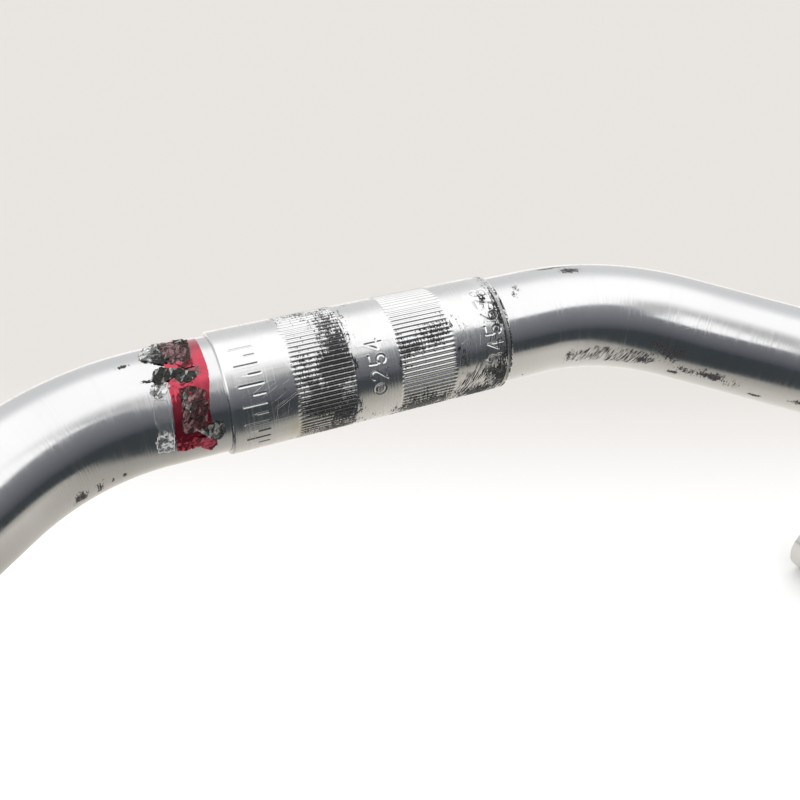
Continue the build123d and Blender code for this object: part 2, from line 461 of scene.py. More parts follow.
SLEEVE_SMUDGES = [
    (-8.5, 57, 4.7, 22, 2), (-11.8, 86, 5.2, 18, 2), (-7.5, 36, 3.4, 17, 0.85),
    (-7.2, 10, 3, 20, 0.7), (-7.5, 102, 4, 24, 0.85), (-10, -14, 6, 9, 0.42),
    (-14.2, 60, 3, 18, 0.45), (-9, 130, 7, 16, 0.7), (8, 56, 2.8, 9, 0.62),
    (12.8, 48, 2.8, 11, 0.66), (17.2, 43, 2.2, 8, 0.45), (5.9, 56, 1.2, 14, 0.5),
    (11, 128, 8.5, 24, 0.85), (24.5, 128, 6.5, 20, 0.85), (29.7, 60, 1.4, 88, 0.85),
    (28.2, 104, 2.8, 30, 0.95), (28.8, 40, 2.2, 24, 0.95), (26.6, 24, 1.2, 9, 0.6),
    (26, 100, 2.4, 16, 0.5),
]
SLEEVE_SCUFFS = [
    (23.5, 116, 7.5, 34, 1.5), (19.5, 70, 3, 20, 0.6), (26.5, 60, 3, 26, 0.5),
    (-7, 112, 4, 22, 0.6),
]
SLEEVE_TARNISH = [(-17, 112, 4, 22, 1), (-12, 96, 6, 26, 0.7)]
FOIL_STAINS = [
    (-37.5, -3, 3, 30, 1.4), (-36.2, 66, 1.6, 20, 1.2), (-37.6, 32, 3.4, 9, 1.2),
    (-34, 92, 2.4, 14, 1.2),
]
FILM_LOOSE = [(-43.6, 94, 2.6, 17, 1)]

SCUFF_STRENGTH = 0.85
SPECK_STRENGTH = 0.8
BARE_METAL = (0.95, 0.95, 0.95, 1.0)
TARNISH = (0.60, 0.57, 0.44, 1.0)
PALE_STAIN = (0.20, 0.085, 0.085, 1.0)
DARK_STAIN = (0.028, 0.014, 0.014, 1.0)
CLEAR_FILM = (0.40, 0.41, 0.41, 1.0)
METAL_RELIEF = 0.006 * MM
FOIL_RELIEF = 0.06 * MM
FILM_RELIEF = 0.08 * MM
SCRAP_RELIEF = 0.12 * MM


class Wear(typing.NamedTuple):
    """How worn a metal is. Heights are measured in the height of a polishing line."""

    scratches: float  # how strongly scratches show
    scratch_shine: float  # how far a scratch lightens the metal
    scratch_blur: float  # roughness that a scratch adds
    scratch_depth: float
    smudges: float  # how strongly smudges show
    raggedness: float  # how far the edges of smudges are broken up
    specks: float  # how close together specks are
    roughness: float  # roughness of the clean metal
    streak_blur: float  # roughness that a polishing line adds
    clouded: float  # shade of the duller clouds in the metal


TUBE_WEAR = Wear(
    scratches=0.16, scratch_shine=0.35, scratch_blur=0.2, scratch_depth=2.5, smudges=0.95,
    raggedness=2.2, specks=260.0, roughness=0.10, streak_blur=0.16, clouded=0.93,
)
SLEEVE_WEAR = Wear(
    scratches=0.8, scratch_shine=0.4, scratch_blur=0.15, scratch_depth=3.0, smudges=1.0,
    raggedness=2.3, specks=330.0, roughness=0.15, streak_blur=0.18, clouded=0.9,
)


def metal_marks(n, wear, straight, flat, smudged, scuffed):
    """The polishing lines, scratches and dirt on a metal. Two fields say where its dirt lies."""
    streaks = n.group("polish_streaks", Straight=straight)["Streaks"]
    scratches = n.group("scratches", Flat=flat, Amount=wear.scratches)["Mask"]
    smudges = n.group(
        "grime", Straight=straight, Field=smudged, Raggedness=wear.raggedness
    )["Mask"]
    scuffs = n.group("hatch", Flat=flat, Field=scuffed)["Mask"]
    specks = n.group("specks", Straight=straight, Density=wear.specks)["Mask"]
    dirt = n.highest(
        n.times(smudges, wear.smudges), n.times(scuffs, SCUFF_STRENGTH),
        n.times(specks, SPECK_STRENGTH), clamp=True,
    )
    return streaks, scratches, dirt


def clouded_metal(n, look, wear, clouds):
    """The colour of the clean metal, a little duller in clouds."""
    return n.blend(n.fade(clouds, 0.3, 0.7), rgba(look.metal, wear.clouded), rgba(look.metal))


def join_metal(n, shader, look, wear, marks, tone, relief):
    """Wires up a metal: bright where it is clean, and dark and matt under its dirt."""
    streaks, scratches, dirt = marks
    worn = n.blend(n.times(scratches, wear.scratch_shine), tone, BARE_METAL)
    height = n.plus(n.minus(streaks, n.times(scratches, wear.scratch_depth)), *relief)
    n.wire(shader, {
        "Base Color": n.blend(n.times(dirt, 1.2, clamp=True), worn, rgba(look.dirt)),
        "Metallic": n.fade(dirt, 0.5, 1.0, 1.0, 0.05),
        "Roughness": n.plus(
            n.times(streaks, wear.streak_blur), wear.roughness,
            n.times(scratches, wear.scratch_blur), n.times(dirt, 0.35), clamp=True,
        ),
        "Normal": n.bump(height, METAL_RELIEF), "Specular IOR Level": 0.15,
    })


def polished_tube_material(look):
    """Bright drawn aluminium, polished round the tube, with scuffs, scratches and spots."""
    made, n, shader = new_material("polished_tube")
    straight = n.attribute("straight", "Vector")
    unrolled = n.group("unrolled", Straight=straight)
    smudged = patches_field(n, unrolled["Place"], TUBE_SMUDGES)
    scuffed = patches_field(n, unrolled["Place"], TUBE_SCUFFS)
    marks = metal_marks(n, TUBE_WEAR, straight, unrolled["Flat"], smudged, scuffed)
    tone = clouded_metal(n, look, TUBE_WEAR, n.noise(straight, 26.0, 3.0))
    waves = n.times(n.noise(straight, 95.0, 2.0), 7.0)
    join_metal(n, shader, look, TUBE_WEAR, marks, tone, [waves])
    return made


def clamp_sleeve_material(look):
    """Worn satin aluminium with black dirt pressed into its grooves and stamped marks."""
    made, n, shader = new_material("worn_sleeve")
    straight = n.attribute("straight", "Vector")
    pressed = n.attribute("pressed")
    unrolled = n.group("unrolled", Straight=straight)
    patches = patches_field(n, unrolled["Place"], SLEEVE_SMUDGES)
    smudged = n.plus(patches, -0.10, n.times(pressed, 0.30))
    scuffed = patches_field(n, unrolled["Place"], SLEEVE_SCUFFS)
    streaks, scratches, dirt = metal_marks(
        n, SLEEVE_WEAR, straight, unrolled["Flat"], smudged, scuffed
    )
    # The edges of what is pressed in are rubbed clean.
    rubbed = n.times(pressed, n.minus(1.0, pressed), 2.2)
    dirt = n.times(dirt, n.minus(1.0, rubbed), clamp=True)
    clouds = n.noise(straight, 60.0, 4.0, 0.6)
    tarnished = patches_field(n, unrolled["Place"], SLEEVE_TARNISH)
    tarnished = n.fade(tarnished, 0.0, 0.8, 0.0, 0.55)
    tone = n.blend(tarnished, clouded_metal(n, look, SLEEVE_WEAR, clouds), TARNISH)
    relief = [n.times(clouds, 10.0), n.times(dirt, 2.0)]
    join_metal(n, shader, look, SLEEVE_WEAR, (streaks, scratches, dirt), tone, relief)
    return made


def red_foil_material(look):
    """Glossy metallic red foil, crumpled and stained dark where its print has torn."""
    made, n, shader = new_material("red_foil")
    place = n.object_place()
    unrolled = n.group("unrolled", Straight=place)
    creases = n.noise(place, 700.0, 4.0, 0.6)
    stained = patches_field(n, unrolled["Place"], FOIL_STAINS)
    stain = n.group("grime", Straight=place, Field=stained, Raggedness=1.5)["Mask"]
    tone = n.blend(n.fade(creases, 0.35, 0.65), rgba(look.foil, 0.82), rgba(look.foil))
    mottle = n.fade(n.noise(place, 1500.0, 3.0, 0.65), 0.42, 0.66)
    dark = n.blend(mottle, DARK_STAIN, PALE_STAIN)
    crumple = n.times(creases, n.plus(n.times(n.fade(stained, 0.0, 0.5), 0.6), 0.05))
    grain = n.times(n.noise(place, 5200.0, 2.0), 0.03)
    n.wire(shader, {
        "Base Color": n.blend(n.times(stain, 0.92), tone, dark),
        "Metallic": n.minus(0.9, n.times(stain, 0.7)),
        "Roughness": n.plus(0.16, n.times(stain, 0.25)),
        "Normal": n.bump(n.plus(crumple, grain), FOIL_RELIEF),
        "Coat Weight": 1.0, "Coat Roughness": 0.06,
    })
    return made


def torn_scrap_material(name, dark, light, metallic, scarce, cover):
    """Crumpled print torn off its backing, dark with bright painted glints along the creases.

    light is the painted colour of the glints, metallic is how much the glints look like metal,
    scarce is how few they are, and cover is how much of the scrap is left: 1 has no holes.
    """
    made, n, shader = new_material(name)
    place = n.object_place()
    flat = n.group("unrolled", Straight=place)["Flat"]
    facets = n.group("crumpled_facets", Flat=flat)
    shade = n.plus(facets["Shade"], uneven(n, facets["Crumple"], 0.7))
    # Painted glints and painted facet shade: the brightest facets take the light colour, partly
    # metallic, and the rest a shade between dark and three times as light.
    painted_glints = n.fade(shade, scarce, scarce + 0.12)
    plain = n.blend(n.fade(shade, 0.25, 0.75), rgba(dark), rgba(dark, 3.2))
    holes = n.fade(n.noise(place, 1100.0, 3.0, 0.6), 0.40, 0.56)
    n.wire(shader, {
        "Base Color": n.blend(painted_glints, plain, rgba(light)),
        "Metallic": n.times(painted_glints, metallic),
        "Roughness": n.minus(0.50, n.times(painted_glints, 0.22)),
        "Alpha": n.plus(cover, holes, clamp=True),
        "Normal": n.bump(n.plus(facets["Shade"], facets["Crumple"]), SCRAP_RELIEF),
        "Specular IOR Level": 0.35,
    })
    return made


def clear_film_material(look):
    """Thin clear film, whitened along its torn edges and where air sits under its lower end."""
    made, n, shader = new_material("clear_film")
    place = n.object_place()
    unrolled = n.group("unrolled", Straight=place)
    loose = n.fade(patches_field(n, unrolled["Place"], FILM_LOOSE), 0.0, 0.35)
    air = n.times(n.fade(n.noise(place, 1200.0, 4.0, 0.6), 0.44, 0.60), loose)
    edge = n.times(n.fade(n.attribute("rim"), 0.50, 0.90), n.plus(n.times(loose, 0.75), 0.25))
    white = n.highest(edge, n.times(air, 0.75))
    n.wire(shader, {
        "Base Color": n.blend(white, CLEAR_FILM, rgba(look.film)),
        "Alpha": n.plus(n.times(white, 0.80), 0.06, clamp=True),
        "Roughness": n.plus(0.08, n.times(air, 0.3)),
        "Normal": n.bump(n.noise(place, 800.0, 4.0, 0.65), FILM_RELIEF),
    })
    return made


# ---- mesh helpers ----
def finish_piece(bm, name, materials, node, sharp):
    """Turns a bmesh into a finished object that stands for a CAD node.

    Edges stay sharp where two faces meet at more than the sharp angle, in degrees.
    """
    mesh = bpy.data.meshes.new(name)
    bm.to_mesh(mesh)
    bm.free()
    piece = bpy.data.objects.new(name, mesh)
    bpy.context.scene.collection.objects.link(piece)
    for material in materials:
        mesh.materials.append(material)
    mesh.shade_smooth()
    mesh.set_sharp_from_angle(angle=math.radians(sharp))
    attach(piece, "root")
    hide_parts(node)
    return piece


def only(kind, geometry):
    """The vertices or the edges in a mixed list."""
    return [part for part in geometry if isinstance(part, kind)]


class WalkingRing:
    """A ring that is carried along a route and leaves the skin of a tube behind it.

    Each vertex keeps the place it would have if the tube were straight, so that a finish can
    follow the bends.
    """

    def __init__(self, bm, radius, facets, start=0.0):
        layers = bm.verts.layers.float_vector
        self.bm = bm
        self.straight = layers.get("straight") or layers.new("straight")
        across = Matrix.Rotation(math.radians(90.0), 4, "Y")
        across = Matrix.Translation((start, 0.0, 0.0)) @ across
        ring = bmesh.ops.create_circle(
            bm, cap_ends=False, radius=radius, segments=facets, matrix=across
        )
        self.verts = ring["verts"]
        self.edges = list(dict.fromkeys(edge for vert in self.verts for edge in vert.link_edges))
        self.radius = radius
        self.along = start
        self.remember()

    def remember(self):
        """Writes the ring's place along the straightened tube on its vertices."""
        for vert in self.verts:
            kept = vert[self.straight]
            if kept.length == 0.0:
                kept = vert.co.copy()
            vert[self.straight] = Vector((self.along, kept.y, kept.z))

    def take(self, geometry, advance):
        """Goes on with the newest ring."""
        self.verts = only(bmesh.types.BMVert, geometry)
        self.edges = only(bmesh.types.BMEdge, geometry)
        self.along += advance
        self.remember()

    def run(self, way, distance, steps=1, radius=None):
        """Draws the tube on in a straight line, to a new radius if one is given."""
        for _ in range(steps):
            made = bmesh.ops.extrude_edge_only(self.bm, edges=self.edges)
            self.take(made["geom"], distance / steps)
            bmesh.ops.translate(self.bm, verts=self.verts, vec=way * (distance / steps))
        if radius is not None:
            middle = sum((vert.co for vert in self.verts), Vector()) / len(self.verts)
            grown = radius / self.radius
            bmesh.ops.scale(
                self.bm, verts=self.verts, vec=(grown, grown, grown),
                space=Matrix.Translation(-middle),
            )
            self.radius = radius

    def bend(self, centre, axis, angle, radius, steps):
        """Draws the tube on round a bend."""
        for _ in range(steps):
            made = bmesh.ops.spin(
                self.bm, geom=self.verts + self.edges, cent=centre, axis=axis,
                angle=angle / steps, steps=1, use_merge=False, use_duplicate=False,
            )
            self.take(made["geom_last"], radius * angle / steps)


# ---- the bent tube ----
# How close together the rings of a skin are: degrees of a bend, and metres of a straight run.
OUTER_RINGS = (2.0, 7 * MM)
BORE_RINGS = (7.0, 25 * MM)
WELD = 0.05 * MM


def reach(radius, angle):
    """How far from its corner a bend starts."""
    return radius * math.tan(angle / 2)


def route_of(tube):
    """The right half of the route, from the middle: straight runs and bends in order."""
    first = Vector((tube.bend_start + reach(tube.bend_radius, tube.bend_angle), 0.0, 0.0))
    forward = (tube.half_width - first.x) * math.tan(tube.bend_angle)
    second = Vector((
        tube.half_width, -forward * math.cos(tube.ramp_slope), -forward * math.sin(tube.ramp_slope)
    ))
    falling = Vector((0.0, -math.cos(tube.descent_angle), -math.sin(tube.descent_angle)))
    shoulder = reach(tube.shoulder_radius, (second - first).angle(falling))
    hook = reach(tube.hook_radius, math.pi - tube.descent_angle)
    third = second + falling * (shoulder + tube.descent_straight + hook)
    last = third + Vector((0.0, hook + tube.drop_straight, 0.0))
    corners = [Vector(), first, second, third, last]
    radii = [tube.bend_radius, tube.shoulder_radius, tube.hook_radius]
    steps, used = [], 0.0
    for radius, before, corner, after in zip(radii, corners, corners[1:], corners[2:]):
        into, out = (corner - before).normalized(), (after - corner).normalized()
        angle = into.angle(out)
        cut = reach(radius, angle)
        axis = into.cross(out).normalized()
        centre = corner - into * cut + axis.cross(into) * radius
        steps.append(("run", into, (corner - before).length - used - cut))
        steps.append(("bend", centre, axis, angle, radius))
        used = cut
    steps.append(("run", (last - third).normalized(), (last - third).length - used))
    return steps


def draw_half(bm, tube, radius, rings):
    """One skin of the tube's right half, as far as its end chamfer. Returns the last ring."""
    ring_angle, ring_gap = rings
    ring = WalkingRing(bm, radius, tube.facets)
    *steps, (_, way, length) = route_of(tube)
    for kind, *step in steps:
        if kind == "run":
            straight_way, distance = step
            ring.run(straight_way, distance, max(1, round(distance / ring_gap)))
        else:
            centre, axis, angle, bend_radius = step
            bend_rings = max(3, round(math.degrees(angle) / ring_angle))
            ring.bend(centre, axis, angle, bend_radius, bend_rings)
    ring.run(way, length - tube.chamfer, max(1, round(length / ring_gap)))
    return ring, way


class HANDLEBAR_OT_tube(bpy.types.Operator):
    """Builds the bent tube: both skins drawn along the route and joined round its open ends"""

    bl_idname = "handlebar.tube"
    bl_label = "Handlebar tube"

    def execute(self, context):
        tube = context.scene.handlebar_tube
        bm = bmesh.new()
        rim, way = draw_half(bm, tube, tube.radius, OUTER_RINGS)
        rim.run(way, tube.chamfer, 1, tube.radius - tube.chamfer)
        rim.run(way, 0.0, 1, tube.bore + tube.chamfer)
        rim.run(way, -tube.chamfer, 1, tube.bore)
        draw_half(bm, tube, tube.bore, BORE_RINGS)
        bmesh.ops.remove_doubles(bm, verts=bm.verts[:], dist=WELD)
        everything = bm.verts[:] + bm.edges[:] + bm.faces[:]
        bmesh.ops.mirror(
            bm, geom=everything, matrix=Matrix.Identity(4), merge_dist=1e-6, axis="X"
        )
        straight = bm.verts.layers.float_vector["straight"]
        for vert in bm.verts:
            if vert.co.x < 0.0 < vert[straight].x:
                vert[straight].x *= -1.0
        if any(edge.is_boundary for edge in bm.edges):
            raise RuntimeError("the two skins of the tube do not meet at its ends")
        bmesh.ops.recalc_face_normals(bm, faces=bm.faces[:])
        finish = polished_tube_material(tube)
        finish_piece(bm, "bent_tube", [finish], "handlebar_tube", 35.0)
        return {"FINISHED"}


# ---- the clamp sleeve ----
GROOVE_SIDES = 8  # facets round the sleeve for each groove
KNEE = 0.35  # where the rounded chamfer bends, as a share of its size
RIPPLE_MM = 0.008  # unevenness of the worn skin
RAISED_MM = 0.022  # height of the rim that a stamp raises
NUMERAL_PITCH = 14.0  # degrees from one numeral to the next
TICK_PITCH = 9.0  # degrees from one tick to the next
TICKS_MM = (4.6, 2.2)  # the long and the short tick


def arc(across, up, radius, start, sweep, points=16):
    """Points along an arc, its angles in degrees."""
    angles = [math.radians(start + sweep * step / points) for step in range(points + 1)]
    return [(across + radius * math.cos(one), up + radius * math.sin(one)) for one in angles]


def numeral_strokes(figure, width=2.0, height=3.5):
    """The centre lines of one plain numeral, in millimetres about its middle."""
    w, h = width / 2, height / 2
    bowl = w * 0.9
    tail = [(-bowl, -h + bowl), (-bowl * 0.7, h * 0.3), (w * 0.6, h)]
    return {
        "1": [[(-w / 2, h * 0.5), (0, h), (0, -h)]],
        "2": [arc(0, h - bowl, bowl, 160, -200) + [(-w, -h), (w, -h)]],
        "3": [arc(0, h / 2, h / 2, 150, -240), arc(0, -h / 2, h / 2, 90, -240)],
        "4": [[(w, -h * 0.4), (-w, -h * 0.4), (w * 0.4, h), (w * 0.4, -h)]],
        "5": [[(w, h), (-w * 0.7, h), (-w * 0.8, h * 0.15)], arc(0, -h + bowl, bowl, 140, -290)],
        "6": [arc(0, -h + bowl, bowl, 0, 360), tail],
        "7": [[(-w, h), (w, h), (-w * 0.3, -h)]],
        "8": [arc(0, h / 2, h / 2 * 0.92, 0, 360), arc(0, -h / 2, h / 2, 0, 360)],
    }[figure]


def stamped_marks(sleeve):
    """Every stamped mark: its place along the sleeve, its angle and its strokes."""
    end = sleeve.length / 2 / MM
    marks = [(0.0, 87.0, [arc(0, 0, 1.1, 0, 360)])]
    for first, along, figures in ((73.0, 0.0, "254"), (112.0, end - 4.3, "12345678")):
        for place, figure in enumerate(figures):
            marks.append((along, first - NUMERAL_PITCH * place, numeral_strokes(figure)))
    for place in range(12):
        tick = [[(0.0, 0.0), (0.0, TICKS_MM[place % 2])]]
        marks.append((7.2 - end, 20.0 + TICK_PITCH * place, tick))
    return marks


def step_between(low, high, values):
    """A smooth step of a number or an array between two limits."""
    part = np.clip((values - low) / (high - low), 0.0, 1.0)
    return part * part * (3.0 - 2.0 * part)


def stroke_distance(across, up, points):
    """How far each point lies from a line of joined points."""
    nearest = np.full(across.shape, 1e9)
    for (x0, y0), (x1, y1) in zip(points, points[1:]):
        dx, dy = x1 - x0, y1 - y0
        length = max(dx * dx + dy * dy, 1e-12)
        part = np.clip(((across - x0) * dx + (up - y0) * dy) / length, 0.0, 1.0)
        nearest = np.minimum(nearest, np.hypot(across - x0 - part * dx, up - y0 - part * dy))
    return nearest


def press_depth(sleeve, along, angle):
    """How deep the grooves and marks go at each point, and the small rims that they raise.

    All lengths are in millimetres, and angles in degrees.
    """
    mm_per_degree = math.radians(1.0) * sleeve.radius / MM
    pitch = 360.0 / sleeve.grooves
    off_groove = np.abs((angle + pitch / 2) % pitch - pitch / 2) * mm_per_degree
    half_groove = sleeve.groove_width / MM / 2
    across_groove = step_between(half_groove + 0.07, half_groove - 0.10, off_groove)
    inner = sleeve.band_gap / MM / 2
    outer = inner + sleeve.band_length / MM
    off_middle = np.abs(along)
    in_band = step_between(inner - 0.1, inner + 0.35, off_middle)
    in_band *= step_between(outer + 0.1, outer - 0.9, off_middle)
    depth = across_groove * in_band * sleeve.groove_depth / MM
    rim = np.zeros_like(depth)
    half, stamp = sleeve.stroke / MM / 2, sleeve.stamp_depth / MM
    for mark_along, mark_angle, strokes in stamped_marks(sleeve):
        near = (np.abs(along - mark_along) < 5.2) & (np.abs(angle - mark_angle) < 9.0)
        across = (mark_angle - angle[near]) * mm_per_degree
        up = mark_along - along[near]
        for points in strokes:
            away = stroke_distance(across, up, points)
            sunk = stamp * step_between(half + 0.06, half - 0.12, away)
            raised = step_between(half + 0.02, half + 0.1, away)
            raised *= step_between(half + 0.32, half + 0.14, away)
            depth[near] = np.maximum(depth[near], sunk)
            rim[near] = np.maximum(rim[near], RAISED_MM * raised)
    return depth, rim * (depth < 0.01)


def sleeve_stations(sleeve):
    """Where rings lie along the sleeve: close together where marks need them, in millimetres."""
    end = sleeve.length / 2 / MM
    close = 0.135
    # Each zone is its start, its end and the gap between its rings.
    zones = [
        (-end + 0.45, -end + 1.2, 0.4),  # left rim
        (-28.6, -27.9, 0.17), (-26.1, -25.5, 0.15), (-23.9, -23.2, 0.17),  # ends of the ticks
        (-18.2, -16.2, 0.28), (-15.5, -6.0, 1.3), (-5.6, -4.6, 0.2),  # left band
        (-2.1, 2.1, close),  # ring and numerals
        (4.6, 5.6, 0.2), (6.0, 15.5, 1.3), (16.2, 18.2, 0.28),  # right band
        (20.0, 23.5, 1.2), (24.45, 28.6, close), (29.0, end - 0.45, 0.16),  # numerals, right rim
    ]
    found = []
    for low, high, gap in zones:
        found.extend(np.linspace(low, high, max(2, round((high - low) / gap) + 1)))
    return found


class HANDLEBAR_OT_sleeve(bpy.types.Operator):
    """Builds the clamp sleeve with its pressed grooves and stamped marks"""

    bl_idname = "handlebar.sleeve"
    bl_label = "Clamp sleeve"

    def execute(self, context):
        tube, sleeve = context.scene.handlebar_tube, context.scene.handlebar_sleeve
        end = sleeve.length / 2
        bore = tube.radius + sleeve.fit_gap
        chamfer, knee = sleeve.chamfer, sleeve.chamfer * KNEE
        along_x = Vector((1.0, 0.0, 0.0))
        bm = bmesh.new()
        ring = WalkingRing(bm, bore, GROOVE_SIDES * sleeve.grooves, -end)
        first_rim = ring.edges
        ring.run(along_x, 0.0, 1, sleeve.radius - chamfer)
        ring.run(along_x, knee, 1, sleeve.radius - knee)
        ring.run(along_x, chamfer - knee, 1, sleeve.radius)
        for place in sleeve_stations(sleeve):
            ring.run(along_x, place * MM - ring.along)
        ring.run(along_x, end - chamfer - ring.along)
        ring.run(along_x, chamfer - knee, 1, sleeve.radius - knee)
        ring.run(along_x, knee, 1, sleeve.radius - chamfer)
        ring.run(along_x, 0.0, 1, bore)
        bmesh.ops.bridge_loops(bm, edges=first_rim + ring.edges)
        bmesh.ops.recalc_face_normals(bm, faces=bm.faces[:])
        finish = clamp_sleeve_material(sleeve)
        piece = finish_piece(bm, "pressed_sleeve", [finish], "clamp_sleeve", 60.0)
        self.press(piece.data, sleeve)
        return {"FINISHED"}

    def press(self, mesh, sleeve):
        """Moves the outer skin's vertices in by the depth of what is pressed there."""
        places = np.empty(len(mesh.vertices) * 3, np.float32)
        mesh.vertices.foreach_get("co", places)
        places = places.reshape(-1, 3).astype(float)
        along = places[:, 0] / MM
        angle = np.degrees(np.arctan2(-places[:, 1], places[:, 2]))
        radius = np.hypot(places[:, 1], places[:, 2])
        outside = radius > sleeve.radius - 1e-6
        depth, rim = press_depth(sleeve, along, angle)
        # A shallow line runs round the sleeve beside its right rim.
        line = sleeve.length / 2 / MM - 1.05
        depth = np.maximum(depth, 0.09 * step_between(0.42, 0.18, np.abs(along - line)))
        waves = np.array([noise.noise(Vector(place) * 260.0) for place in places])
        depth = np.where(outside, depth + RIPPLE_MM * (1.0 + waves), 0.0)
        moved = radius - (depth - np.where(outside, rim, 0.0)) * MM
        places[:, 1] *= moved / radius
        places[:, 2] *= moved / radius
        mesh.vertices.foreach_set("co", places.astype(np.float32).ravel())
        pressed = mesh.attributes.new("pressed", "FLOAT", "POINT")
        share = np.clip((depth - 0.02) / 0.12, 0.0, 1.0)
        pressed.data.foreach_set("value", share.astype(np.float32))
        mesh.update()


# ---- the label ----
FOIL_ANGLES = (-95.0, 108.0)  # where the strip starts behind the bar and ends below its front
FOIL_CELLS = (48, 210)  # faces across the strip and round the bar
SCRAP_THICKNESS = 0.04 * MM
RIM_REACH, CURL_REACH = 0.35, 0.9  # how far in from its torn edge a scrap is frayed, and curls
RAISED_LEAST, RAISED_MOST = 0.06, 0.70  # how far a scrap may stand off the tube, in millimetres


def on_tube(along, angle, radius):
    """A point at a place along the bar, an angle in degrees and a distance from its axis."""
    turned = math.radians(angle)
    return Vector((along, -math.sin(turned) * radius, math.cos(turned) * radius))


def thicken(bm, faces, thickness):
    """Gives a sheet that lies on the bar its thickness, outwards."""
    made = bmesh.ops.extrude_face_region(bm, geom=faces)
    for vert in only(bmesh.types.BMVert, made["geom"]):
        vert.co += Vector((0.0, vert.co.y, vert.co.z)).normalized() * thickness
    bmesh.ops.recalc_face_normals(bm, faces=bm.faces[:])


def rough_noise(seed, *values):
    """Repeatable noise from -1 to 1."""
    place = Vector([*values, 0.0, 0.0][:3])
    return noise.noise(place + Vector((seed * 7.31, seed * 3.17, seed * 1.73)))


def foil_point(tube, label, across, onward):
    """A point of the foil. across and onward run from 0 to 1 over its width and round the bar."""
    left = -label.outer_edge / MM
    right = left + label.width / MM
    start, stop = FOIL_ANGLES
    angle = start + (stop - start) * onward
    slant = 1.9 * (1.0 - min(1.0, max(0.0, (angle + 40.0) / 130.0)))
    outer = left + slant + 0.22 * rough_noise(1, angle * 0.22) + 0.1 * rough_noise(2, angle * 1.1)
    torn_back = 1.5 * step_between(30.0, 72.0, angle) - 0.5 * step_between(92.0, 104.0, angle)
    nibble = 0.14 * abs(rough_noise(3, angle * 0.35)) + 0.12 * abs(rough_noise(4, angle * 1.6))
    inner = right - 0.05 - torn_back - nibble
    along = outer + (inner - outer) * across
    ragged = 2.2 * rough_noise(5, along * 1.3) + 1.2 * rough_noise(6, along * 4.0)
    angle += (ragged - 1.6) * (onward ** 12 - (1.0 - onward) ** 12)
    loose = step_between(0.72, 0.45, across)
    loose *= max(step_between(62.0, 36.0, angle), step_between(84.0, 94.0, angle))
    crease = abs(rough_noise(7, along * 0.9, angle * 0.16))
    crease += 0.5 * abs(rough_noise(8, along * 2.3, angle * 0.4))
    lift = 0.02 + 0.03 * abs(rough_noise(9, along * 0.5, angle * 0.05)) + 0.30 * crease * loose
    return on_tube(along * MM, angle, tube.radius + lift * MM)


class HANDLEBAR_OT_foil(bpy.types.Operator):
    """Builds the red foil strip, ragged at its edges and creased along its outer side"""

    bl_idname = "handlebar.foil"
    bl_label = "Label foil"

    def execute(self, context):
        tube, label = context.scene.handlebar_tube, context.scene.handlebar_label
        columns, rows = FOIL_CELLS
        bm = bmesh.new()
        bmesh.ops.create_grid(bm, x_segments=columns, y_segments=rows, size=0.5)
        for vert in bm.verts:
            vert.co = foil_point(tube, label, vert.co.x + 0.5, vert.co.y + 0.5)
        thicken(bm, bm.faces[:], label.foil_thickness)
        finish_piece(bm, "foil_strip", [red_foil_material(label)], "label_foil", 50.0)
        return {"FINISHED"}


def off_outline(x, y, corners):
    """How far a point lies from the outline through some corners."""
    nearest = 1e9
    for (x0, y0), (x1, y1) in zip(corners, corners[1:] + corners[:1]):
        dx, dy = x1 - x0, y1 - y0
        part = ((x - x0) * dx + (y - y0) * dy) / (dx * dx + dy * dy)
        part = min(1.0, max(0.0, part))
        nearest = min(nearest, math.hypot(x - x0 - part * dx, y - y0 - part * dy))
    return nearest


def off_fold(x, y, z):
    """How far a point lies from the folds between crumpled cells."""
    nearest = noise.voronoi(Vector((x, y, z)))[0]
    return nearest[1] - nearest[0]


def torn_shift(seed, x, y):
    """How far a torn edge wanders from its outline."""
    wide = 0.24 * rough_noise(seed, x * 1.7, y * 1.7)
    return wide + 0.15 * rough_noise(seed + 0.4, x * 5.0, y * 5.0)


def lay_torn(bm, tube, seed, corners, lift, crumple, curl, finish=0, cuts=9):
    """Lays one torn, crumpled scrap on the tube.

    Its corners are along the bar in millimetres and round it in degrees. lift, crumple and curl
    are in millimetres. Its rim attribute is 1 at the torn edge and 0 inside.
    """
    scrap = bmesh.new()
    rim = scrap.verts.layers.float.new("rim")
    radius = tube.radius / MM
    flat = [(along, math.radians(angle) * radius) for along, angle in corners]
    outline = scrap.faces.new([scrap.verts.new((x, y, 0.0)) for x, y in flat])
    outline.material_index = finish
    bmesh.ops.triangulate(scrap, faces=[outline])
    bmesh.ops.subdivide_edges(scrap, edges=scrap.edges[:], cuts=cuts, use_grid_fill=True)
    for vert in scrap.verts:
        x, y = vert.co.x, vert.co.y
        inside = off_outline(x, y, flat)
        vert[rim] = max(0.0, 1.0 - inside / RIM_REACH)
        x += torn_shift(seed, x, y)
        y += torn_shift(seed + 0.2, x, y)
        along_fold, across_fold = 0.85 * x + 0.53 * y, 0.85 * y - 0.53 * x
        folds = off_fold(along_fold * 0.55 + seed, across_fold * 1.3, seed * 1.7)
        folds += 0.35 * off_fold(along_fold * 1.5 + seed, across_fold * 2.8, seed * 0.7)
        curled = curl * max(0.0, 1.0 - inside / CURL_REACH) ** 2
        curled *= max(0.0, 0.35 + rough_noise(seed + 2.3, x * 0.6, y * 0.6))
        raised = min(RAISED_MOST, max(RAISED_LEAST, lift + crumple * folds + curled))
        vert.co = on_tube(x * MM, math.degrees(y / radius), tube.radius + raised * MM)
    thicken(scrap, scrap.faces[:], SCRAP_THICKNESS)
    laid = bpy.data.meshes.new("scrap")
    scrap.to_mesh(laid)
    scrap.free()
    bm.from_mesh(laid)
    bpy.data.meshes.remove(laid)


